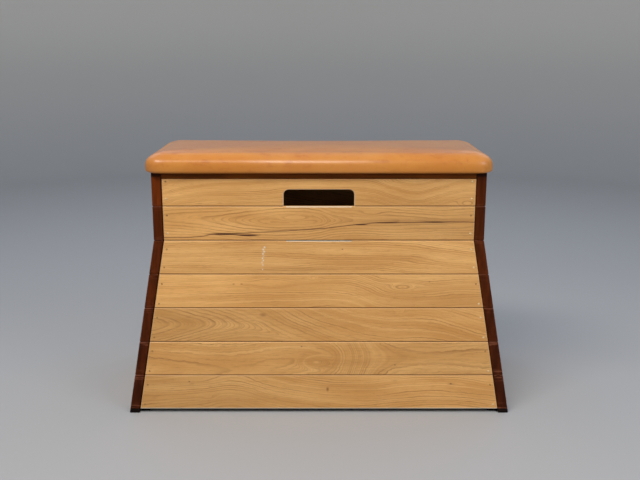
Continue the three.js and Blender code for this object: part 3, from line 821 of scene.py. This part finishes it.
def leather_hide(name, leather):
    """Vegetable-tanned cowhide, waxed and rubbed: mottled tan with a soft sheen and fine creases."""
    material, tree, shader, shared = new_material(name)
    clouds = add(tree, "TexNoise", {"Vector": shared, **CLOUDS})
    clouds = add(tree, "MapRange", [clouds, *CLOUD_FADE])
    colour = add(tree, "Mix", [clouds, opaque(leather.tan), opaque(leather.honey)])
    creases = [patchy(tree, shared, pattern) for pattern in (CREASES, CREASED_PLACES)]
    crease = joined(tree, creases, "MULTIPLY")
    dark_crease = add(tree, "Math", [crease, CREASE_STRENGTH], operation="MULTIPLY")
    for share in (patchy(tree, shared, BLOTCHES), dark_crease):
        colour = add(tree, "Mix", [share, colour, opaque(leather.russet)])

    # The flat top is darker and greyer, by painted shade
    axes = add(tree, "SeparateXYZ", [shared])
    on_top = add(tree, "MapRange", [axes.outputs["Z"], *(cad_box[1].z - depth for depth in FLAT_TOP)])
    colour = add(tree, "Mix", [on_top, colour, opaque(PAINTED_TOP_SHADE)], blend_type="MULTIPLY")

    # The wax is even on the top, and on the roll it shines in the middle and at the corners
    from_middle = add(tree, "Math", [axes.outputs["X"]], operation="ABSOLUTE")
    shine = joined(tree, [
        add(tree, "MapRange", [from_middle, *SHINY_MIDDLE, *MIDDLE_SHINE]),
        add(tree, "MapRange", [from_middle, *SHINY_CORNERS, *CORNER_SHINE]),
        on_top,
    ], "MAXIMUM")
    pebble = add(tree, "TexVoronoi", {"Vector": shared, "Scale": PEBBLES}, feature="DISTANCE_TO_EDGE")
    relief = add(tree, "MapRange", [pebble, *PEBBLE_RISE])
    relief = add(tree, "Math", [crease, CREASE_DEPTH, relief], operation="MULTIPLY_ADD")
    bump = add(tree, "Bump", {"Height": relief, **HIDE_RELIEF})
    feed(tree, shader, {"Base Color": colour, "Coat Weight": shine, "Normal": bump, **HIDE_FINISH})
    return material


# Fibres are 3 mm wide, because real wool's would be too fine to show
FELT_FIBRES, FELT_FADE = {"Scale": 300.0, "Detail": 3.0, "Distortion": 1.5}, (0.35, 0.65)
FELT_TONES, FELT_RELIEF = ("#7C746A", "#A59C8E"), {"Distance": 0.8 * MM, "Strength": 0.6}


def felt_material(name):
    """Needled wool felt, grey and matt, with mixed fibres."""
    material, tree, shader, shared = new_material(name)
    fibres = add(tree, "TexNoise", {"Vector": shared, **FELT_FIBRES})
    tones = [opaque(linear(tone)) for tone in FELT_TONES]
    colour = add(tree, "Mix", [add(tree, "MapRange", [fibres, *FELT_FADE]), *tones])
    bump = add(tree, "Bump", {"Height": fibres, **FELT_RELIEF})
    feed(tree, shader, {"Base Color": colour, "Roughness": 0.95, "Normal": bump})
    return material


# Stains are 2.5 mm wide, so that a head has one or two
STAINS, STAIN_FADE, STAIN_TONE = {"Scale": 400.0, "Detail": 2.0}, (0.4, 0.65), 0.55


def fastener_material(name, base, roughness, metallic):
    """Old brass or linseed putty: dull, and darker in patches of tarnish or dirt."""
    material, tree, shader, shared = new_material(name)
    stains = add(tree, "TexNoise", {"Vector": shared, **STAINS})
    stains = add(tree, "MapRange", [stains, *STAIN_FADE])
    colour = add(tree, "Mix", [stains, opaque(base), opaque(Vector(base) * STAIN_TONE)])
    feed(tree, shader, {"Base Color": colour, "Roughness": roughness, "Metallic": metallic})
    return material


# Meshes

WELD_GAP, CUT_GAP = 0.01 * MM, 0.001 * MM
EDGE_SEGMENTS, SHARP_EDGE = 2, math.radians(25)
FLAT_FACE_WEIGHT = 100


def wear_material(obj, material):
    """Gives the object one material in place of its own."""
    obj.data.materials.clear()
    obj.data.materials.append(material)


def new_piece(name, mesh_builder, materials, body):
    """A piece made from a bmesh, at the origin, that rides on a body."""
    mesh = bpy.data.meshes.new(name)
    mesh_builder.to_mesh(mesh)
    mesh_builder.free()
    piece = bpy.data.objects.new(name, mesh)
    bpy.context.scene.collection.objects.link(piece)
    for material in materials:
        mesh.materials.append(material)
    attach(piece, body)
    return piece


def smooth_faces(mesh):
    """Every face of a mesh shaded smooth."""
    for polygon in mesh.polygons:
        polygon.use_smooth = True


def soften_edges(obj, radius):
    """Small round edges on a CAD node. Its triangles are welded first."""
    weld = obj.modifiers.new("Join triangles", "WELD")
    weld.merge_threshold = WELD_GAP
    bevel = obj.modifiers.new("Round edges", "BEVEL")
    bevel.width = radius
    bevel.segments = EDGE_SEGMENTS
    bevel.limit_method = "ANGLE"
    bevel.angle_limit = SHARP_EDGE
    flat = obj.modifiers.new("Flat faces", "WEIGHTED_NORMAL")
    flat.weight = FLAT_FACE_WEIGHT


def subdivided(obj, name, levels):
    """A smooth subdivision of the object, the same in the view and the render."""
    smooth = obj.modifiers.new(name, "SUBSURF")
    smooth.levels = smooth.render_levels = levels


def merged_copy(node):
    """A bmesh with a CAD node's faces, joined at their corners."""
    shell = bmesh.new()
    shell.from_mesh(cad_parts[node].data)
    bmesh.ops.remove_doubles(shell, verts=shell.verts, dist=WELD_GAP)
    return shell


def shrink(bm, inset):
    """Every vertex moved inwards along its normal."""
    bm.normal_update()
    shift = {v: v.normal.copy() for v in bm.verts}
    for vertex, normal in shift.items():
        vertex.co -= inset * normal


def applied(obj):
    """The object's modifiers applied to its mesh."""
    graph = bpy.context.evaluated_depsgraph_get()
    mesh = bpy.data.meshes.new_from_object(obj.evaluated_get(graph), depsgraph=graph)
    old = obj.data
    obj.modifiers.clear()
    obj.data = mesh
    bpy.data.meshes.remove(old)


# Screws

# Screw heights as shares of a board's height, from its top
SCREW_SHARES = {"lid": (0.09, 0.72), "tier_2": (0.26, 0.79), "tier_3": (0.26, 0.79)}
LOWER_SCREW_SHARES = (0.28, 0.87)
# Screws with putty over them, as (tier, side, end, place from the top)
PUTTIED = {
    (tier, "front_board", end, order) for tier, end, order in (
        ("lid", -1, 1), ("lid", 1, 0), ("lid", 1, 1), ("tier_2", -1, 1), ("tier_2", 1, 1), ("tier_3", 1, 0),
        ("tier_3", 1, 1), ("tier_4", 1, 1), ("tier_5", 1, 0), ("tier_5", 1, 1), ("tier_6", 1, 1),
        ("tier_7", 1, 1))
}
PUTTY_CHANCE = 0.2
PUTTY_RINGS = 5
HEAD_SEGMENTS = 14
HEAD_SINK, HEAD_EASE_SHARE = 1 * MM, 0.35
SLOT_DEPTH, SLOT_WIDTH_SHARE = 0.6 * MM, 0.28


def of_kind(kind, geometry):
    """The vertices or the faces among a bmesh operator's results."""
    return [g for g in geometry if isinstance(g, kind)]


def add_head(bm, place, radius, proud, angle):
    """A slotted screw head, seated in the board."""
    made = bmesh.ops.create_circle(bm, cap_ends=True, segments=HEAD_SEGMENTS, radius=radius)
    half_slot = radius * SLOT_WIDTH_SHARE / 2
    geometry = made["verts"] + list({e for v in made["verts"] for e in v.link_edges})
    geometry += list({f for v in made["verts"] for f in v.link_faces})
    for side in (-1, 1):
        cut = bmesh.ops.bisect_plane(
            bm, geom=geometry, plane_co=(0, side * half_slot, 0), plane_no=(0, 1, 0), dist=CUT_GAP)
        geometry = cut["geom"]
    faces = of_kind(bmesh.types.BMFace, geometry)
    vertices = {v for f in faces for v in f.verts}
    groove = [f for f in faces if abs(f.calc_center_median().y) < half_slot]
    sunk = bmesh.ops.extrude_face_region(bm, geom=groove)["geom"]
    bmesh.ops.delete(bm, geom=groove, context="FACES_ONLY")
    floor = of_kind(bmesh.types.BMVert, sunk)
    bmesh.ops.translate(bm, verts=floor, vec=(0, 0, -HEAD_EASE_SHARE * proud - SLOT_DEPTH))

    # A skirt carries the rim down into the board
    rim = [e for e in bm.edges if len(e.link_faces) == 1 and set(e.verts) <= vertices | set(floor)]
    skirt = bmesh.ops.extrude_edge_only(bm, edges=rim)["geom"]
    lower = of_kind(bmesh.types.BMVert, skirt)
    for vertex in lower:
        vertex.co.z = -HEAD_SINK - proud
    carry = place @ Matrix.Translation((0, 0, proud)) @ Matrix.Rotation(angle, 4, "Z")
    bmesh.ops.transform(bm, matrix=carry, verts=list(vertices | set(floor) | set(lower)))


def add_putty(bm, place, radius, proud):
    """A smeared dome of putty over a sunk screw."""
    made = bmesh.ops.create_uvsphere(bm, u_segments=HEAD_SEGMENTS, v_segments=2 * PUTTY_RINGS, radius=radius)
    dome = place @ Matrix.Diagonal((1.0, 1.0, proud / radius, 1.0))
    bmesh.ops.transform(bm, matrix=dome, verts=made["verts"])
    for face in {f for v in made["verts"] for f in v.link_faces}:
        face.material_index = 1
        face.smooth = True


def tier_screws(bm, tier, screws):
    """All the screws that hold one tier's boards to its posts."""
    draw = random.Random(tier)
    outwards = Matrix.Rotation(math.pi / 2, 4, "X")
    shares = SCREW_SHARES.get(tier, LOWER_SCREW_SHARES)
    for side in SIDE_TURNS:
        place = board_place(tier, side)
        face = Matrix.Translation(place.centre) @ place.rotation.to_matrix().to_4x4()
        for end, (order, share) in product((-1, 1), enumerate(shares)):
            height = place.half_height * (1 - 2 * share)
            length = place.half_length - place.end_slope * (height + place.half_height) - screws.end_inset
            at = face @ Matrix.Translation((end * length, 0, height)) @ outwards
            turned = draw.uniform(0, math.pi)
            listed = (tier, side, end, order) in PUTTIED
            if listed or (side != "front_board" and draw.random() < PUTTY_CHANCE):
                add_putty(bm, at, screws.putty_radius, screws.putty_height)
            else:
                add_head(bm, at, screws.radius, screws.proud, turned)


# Leather and padding

HEM_PINNED = 8 * MM
HEM_LENGTH, HEM_DEPTH = 681.5 * MM, 241.5 * MM
ROUNDING_LEVELS, FINISH_LEVELS, SMOOTHING = 2, 1, 0.5
FELT_INSET, FELT_EDGE = 6 * MM, 3 * MM


def outer_shell(node, slack):
    """The outside of the leather cover as one closed skin, drawn in by the slack."""
    shell = merged_copy(node)
    low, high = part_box(node)
    middle = (low + high) / 2
    inner = [f for f in shell.faces if f.normal.dot(f.calc_center_median() - middle) < 0]
    bmesh.ops.delete(shell, geom=inner, context="FACES")
    open_edges = [e for e in shell.edges if e.is_boundary]
    bmesh.ops.holes_fill(shell, edges=open_edges)
    bmesh.ops.recalc_face_normals(shell, faces=shell.faces)
    bmesh.ops.triangulate(shell, faces=[f for f in shell.faces if len(f.verts) > 4])
    shrink(shell, slack)
    return shell


def open_hem(skin, below):
    """Cuts the skin out inside the hem, where the posts and rails pass."""
    skin.normal_update()
    for normal in ((1, 0, 0), (-1, 0, 0), (0, 1, 0), (0, -1, 0)):
        under = [f for f in skin.faces if f.calc_center_median().z < below and f.normal.z < 0]
        geometry = under + list({e for f in under for e in f.edges})
        geometry += list({v for f in under for v in f.verts})
        line = Vector(normal) * (HEM_LENGTH if normal[0] else HEM_DEPTH)
        bmesh.ops.bisect_plane(skin, geom=geometry, plane_co=line, plane_no=normal, dist=WELD_GAP)
        skin.normal_update()
    under = [(f, f.calc_center_median()) for f in skin.faces if f.normal.z < 0]
    cut = [f for f, at in under if at.z < below and abs(at.x) < HEM_LENGTH and abs(at.y) < HEM_DEPTH]
    bmesh.ops.delete(skin, geom=cut, context="FACES")


def swell(cover, leather, hem_top):
    """Lets the cover swell over the padding as cloth, outwards and only so far, with its hem held."""
    start = [v.co.copy() for v in cover.data.vertices]
    outside = [v.normal.copy() for v in cover.data.vertices]
    held = cover.vertex_groups.new(name="hem")
    held.add([v.index for v in cover.data.vertices if v.co.z < hem_top], 1.0, "REPLACE")
    cloth = cover.modifiers.new("Swell", "CLOTH")
    cloth.settings.vertex_group_mass = "hem"
    cloth.settings.use_pressure = True
    cloth.settings.uniform_pressure_force = leather.pressure
    cloth.settings.effector_weights.gravity = 0.0
    for number in range(1, leather.frames + 1):
        bpy.context.scene.frame_set(number)
    applied(cover)
    for vertex, before, outwards in zip(cover.data.vertices, start, outside):
        moved = vertex.co - before
        moved -= min(moved.dot(outwards), 0.0) * outwards
        vertex.co = before + moved * min(leather.swell / max(moved.length, MM), 1.0)
    bpy.context.scene.frame_set(1)
    cover.vertex_groups.clear()


def settle_leather(cover, leather):
    """Remeshes the skin, swells it over the padding, and opens it inside the hem."""
    subdivided(cover, "Round", ROUNDING_LEVELS)
    remesh = cover.modifiers.new("Even mesh", "REMESH")
    remesh.mode = "VOXEL"
    remesh.voxel_size = leather.voxel
    applied(cover)
    hem_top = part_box("lid_leather_cover")[0].z + HEM_PINNED
    swell(cover, leather, hem_top)
    skin = bmesh.new()
    skin.from_mesh(cover.data)
    bmesh.ops.smooth_vert(
        skin, verts=skin.verts, factor=SMOOTHING, use_axis_x=True, use_axis_y=True, use_axis_z=True)
    open_hem(skin, hem_top)
    skin.to_mesh(cover.data)
    skin.free()
    smooth_faces(cover.data)
    subdivided(cover, "Smooth", FINISH_LEVELS)


# Stage

STUDIO_FLOOR_RADIUS, STUDIO_BEND, STUDIO_HEIGHT = 6.2, 1.2, 5.0
STUDIO_STEPS, STUDIO_BEND_STEPS = 96, 10
# Height over which the paper fades to the wall's colour, painted light that brightens the wall towards its
# top
PAINTED_WALL_LIGHT_HEIGHT = 2.0
SENSOR_WIDTH, SIDE_SHIFT = 36.0, 0.0017
# Each lamp's setting, size, place and colour
LAMP_AIM = (0, 0, 0.5)
LAMPS = (
    ("key", (3.0, 0.9), (-1.1, -2.3, 4.1), "#FFF6EA"),
    ("fill", (2.2, 1.8), (2.6, -2.6, 2.7), "#FFFFFF"),
    ("rear", (3.0, 2.4), (-2.4, 2.8, 3.8), "#D6E6FF"),
    ("rear", (3.0, 2.4), (2.4, 2.8, 3.8), "#D6E6FF"),
)


def round_studio():
    """A flat floor that sweeps up into a round wall and is open above, so that every side has it."""
    bm = bmesh.new()
    bm.verts.new((0, 0, 0))
    bm.verts.ensure_lookup_table()
    rim = bmesh.ops.extrude_vert_indiv(bm, verts=bm.verts[:])["verts"]
    bmesh.ops.translate(bm, verts=rim, vec=(STUDIO_FLOOR_RADIUS, 0, 0))
    bent = bmesh.ops.spin(
        bm, geom=rim, cent=(STUDIO_FLOOR_RADIUS, 0, STUDIO_BEND), axis=(0, -1, 0), angle=math.pi / 2,
        steps=STUDIO_BEND_STEPS)["geom_last"]
    top = bmesh.ops.extrude_vert_indiv(bm, verts=of_kind(bmesh.types.BMVert, bent))["verts"]
    bmesh.ops.translate(bm, verts=top, vec=(0, 0, STUDIO_HEIGHT - STUDIO_BEND))
    bmesh.ops.spin(
        bm, geom=bm.verts[:] + bm.edges[:], cent=(0, 0, 0), axis=(0, 0, 1), angle=2 * math.pi,
        steps=STUDIO_STEPS, use_merge=True)
    bmesh.ops.remove_doubles(bm, verts=bm.verts, dist=MM)
    bmesh.ops.recalc_face_normals(bm, faces=bm.faces)
    bmesh.ops.reverse_faces(bm, faces=bm.faces)
    mesh = bpy.data.meshes.new("studio")
    bm.to_mesh(mesh)
    bm.free()
    smooth_faces(mesh)
    studio = bpy.data.objects.new("studio", mesh)
    bpy.context.scene.collection.objects.link(studio)
    studio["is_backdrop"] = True
    return studio


def studio_paper(name, stage):
    """Smooth background paper: matt and plain, with painted light that makes it paler up the wall."""
    material, tree, shader, shared = new_material(name)
    height = add(tree, "SeparateXYZ", [shared]).outputs["Z"]
    painted_wall_light = add(tree, "MapRange", [height, 0.0, PAINTED_WALL_LIGHT_HEIGHT])
    colour = add(tree, "Mix", [painted_wall_light, opaque(stage.floor), opaque(stage.wall)])
    feed(tree, shader, {"Base Color": colour, "Roughness": 0.9})
    return material


def area_light(name, power, size, at, colour):
    """A soft rectangular light, aimed at the middle of the box."""
    lamp = bpy.data.lights.new(name, "AREA")
    lamp.energy, lamp.shape = power, "RECTANGLE"
    lamp.size, lamp.size_y = size
    lamp.color = linear(colour)
    holder = bpy.data.objects.new(name, lamp)
    holder.visible_camera = False
    bpy.context.scene.collection.objects.link(holder)
    holder.location = at
    holder.rotation_euler = (Vector(LAMP_AIM) - Vector(at)).to_track_quat("-Z", "Y").to_euler()


# Operators

class VAULT_OT_stage(bpy.types.Operator):
    """Set the camera, a pale seamless floor and soft studio light."""

    bl_idname = "vaulting_box.stage"
    bl_label = "Set the stage"

    def execute(self, context):
        stage = context.scene.vaulting_box.stage
        lens = bpy.data.cameras.new("camera")
        lens.lens, lens.sensor_width, lens.shift_x = stage.lens, SENSOR_WIDTH, SIDE_SHIFT
        camera = bpy.data.objects.new("camera", lens)
        context.scene.collection.objects.link(camera)
        camera.location = (0.0, -stage.camera_distance, stage.camera_height)
        camera.rotation_euler = (math.pi / 2 - stage.camera_dip, 0.0, 0.0)
        context.scene.camera = camera
        context.scene.view_settings.view_transform = "Standard"
        wear_material(round_studio(), studio_paper("matt_studio_paper", stage))

        world = bpy.data.worlds.new("studio")
        world.use_nodes = True
        room = {"Color": opaque(stage.room), "Strength": stage.room_light}
        feed(world.node_tree, world.node_tree.nodes["Background"], room)
        context.scene.world = world
        for name, size, at, colour in LAMPS:
            area_light(name, getattr(stage, f"{name}_light"), size, at, colour)
        return {"FINISHED"}


class VAULT_OT_boards(bpy.types.Operator):
    """Give every board its own sawn figure under satin varnish."""

    bl_idname = "vaulting_box.boards"
    bl_label = "Finish the boards"

    def execute(self, context):
        timber = context.scene.vaulting_box.timber
        for tier, side in product(TIERS, SIDE_TURNS):
            node = f"{tier}_{side}"
            front = side == "front_board"
            figure = FRONT_FIGURES[tier] if front else drawn_figure(random.Random(node))
            oak = board_wood(
                f"varnished_oak_{node}", board_place(tier, side), figure, timber, board_marks(tier, side))
            wear_material(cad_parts[node], oak)
            soften_edges(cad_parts[node], timber.edge_radius)
        return {"FINISHED"}


class VAULT_OT_posts(bpy.types.Operator):
    """Stain the corner posts, darker towards the floor and rubbed on their arrises."""

    bl_idname = "vaulting_box.posts"
    bl_label = "Stain the posts"

    def execute(self, context):
        timber = context.scene.vaulting_box.timber
        upper, lower = Vector(timber.upper_stain), Vector(timber.lower_stain)
        for (level, tier), post in product(enumerate(TIERS), POSTS):
            node = f"{tier}_{post}"
            drawn = random.Random(node).uniform(*DRAWN_STAIN_TONE)
            tone = FRONT_STAIN_TONES[tier].get(post, drawn)
            base = upper.lerp(lower, level / (len(TIERS) - 1)) * tone
            stain = stained_wood(f"stained_beech_{node}", timber, base, wear_and_shade=post_wear_and_shade(tier, post))
            wear_material(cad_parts[node], stain)
            soften_edges(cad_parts[node], timber.edge_radius)
        return {"FINISHED"}


class VAULT_OT_lid_frame(bpy.types.Operator):
    """Finish the lid's rails and the plywood deck on them."""

    bl_idname = "vaulting_box.lid_frame"
    bl_label = "Finish rails and deck"

    def execute(self, context):
        timber = context.scene.vaulting_box.timber
        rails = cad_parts["lid_rail_frame"]
        stain = stained_wood("stained_beech_rails", timber, Vector(timber.rail_stain), along="X")
        wear_material(rails, stain)
        soften_edges(rails, timber.edge_radius)
        wear_material(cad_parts["lid_deck"], plywood("birch_plywood"))
        return {"FINISHED"}


class VAULT_OT_screws(bpy.types.Operator):
    """Drive the slotted screws of each tier, some of them under putty."""

    bl_idname = "vaulting_box.screws"
    bl_label = "Drive the screws"

    def execute(self, context):
        screws = context.scene.vaulting_box.screws
        finishes = (
            fastener_material("tarnished_brass", screws.brass, roughness=0.5, metallic=0.4),
            fastener_material("linseed_putty", screws.putty, roughness=0.8, metallic=0.0),
        )
        for tier in TIERS:
            bm = bmesh.new()
            tier_screws(bm, tier, screws)
            new_piece(f"{tier}_screws", bm, finishes, tier)
        return {"FINISHED"}


class VAULT_OT_padding(bpy.types.Operator):
    """Lay the felt padding between the deck and the leather."""

    bl_idname = "vaulting_box.padding"
    bl_label = "Lay the padding"

    def execute(self, context):
        bm = merged_copy("lid_padding")
        shrink(bm, FELT_INSET)
        felt = new_piece("lid_felt", bm, [felt_material("wool_felt")], "lid")
        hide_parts("lid_padding")
        bevel = felt.modifiers.new("Soft edges", "BEVEL")
        bevel.width = FELT_EDGE
        bevel.segments = EDGE_SEGMENTS
        bevel.limit_method = "ANGLE"
        return {"FINISHED"}


class VAULT_OT_leather(bpy.types.Operator):
    """Stretch the leather cover over the padding, and let it swell a little."""

    bl_idname = "vaulting_box.leather"
    bl_label = "Upholster the lid"

    def execute(self, context):
        leather = context.scene.vaulting_box.leather
        bm = outer_shell("lid_leather_cover", leather.slack)
        material = leather_hide("waxed_cowhide", leather)
        cover = new_piece("lid_cover", bm, [material], "lid")
        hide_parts("lid_leather_cover")
        settle_leather(cover, leather)
        return {"FINISHED"}


STEPS = (
    VAULT_OT_stage,
    VAULT_OT_boards,
    VAULT_OT_posts,
    VAULT_OT_lid_frame,
    VAULT_OT_screws,
    VAULT_OT_padding,
    VAULT_OT_leather,
)


class VAULT_PT_panel(bpy.types.Panel):
    bl_idname = "VAULT_PT_panel"
    bl_label = "Vaulting box"
    bl_space_type = "VIEW_3D"
    bl_region_type = "UI"
    bl_category = "Vaulting box"

    def draw(self, context):
        for step in STEPS:
            self.layout.operator(step.bl_idname)


CLASSES = (
    TimberSettings, ScrewSettings, LeatherSettings, StageSettings, BoxSettings, *STEPS, VAULT_PT_panel)


def register():
    for kind in CLASSES:
        bpy.utils.register_class(kind)
    bpy.types.Scene.vaulting_box = PointerProperty(type=BoxSettings)


def unregister():
    del bpy.types.Scene.vaulting_box
    for kind in reversed(CLASSES):
        bpy.utils.unregister_class(kind)


def main():
    register()
    for step in STEPS:
        group, name = step.bl_idname.split(".")
        getattr(getattr(bpy.ops, group), name)()
    boxes = {"cad": cad_box, "visual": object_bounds()}
    {name: [list(corner) for corner in box] for name, box in boxes.items()}


if __name__ == "__main__":
    main()
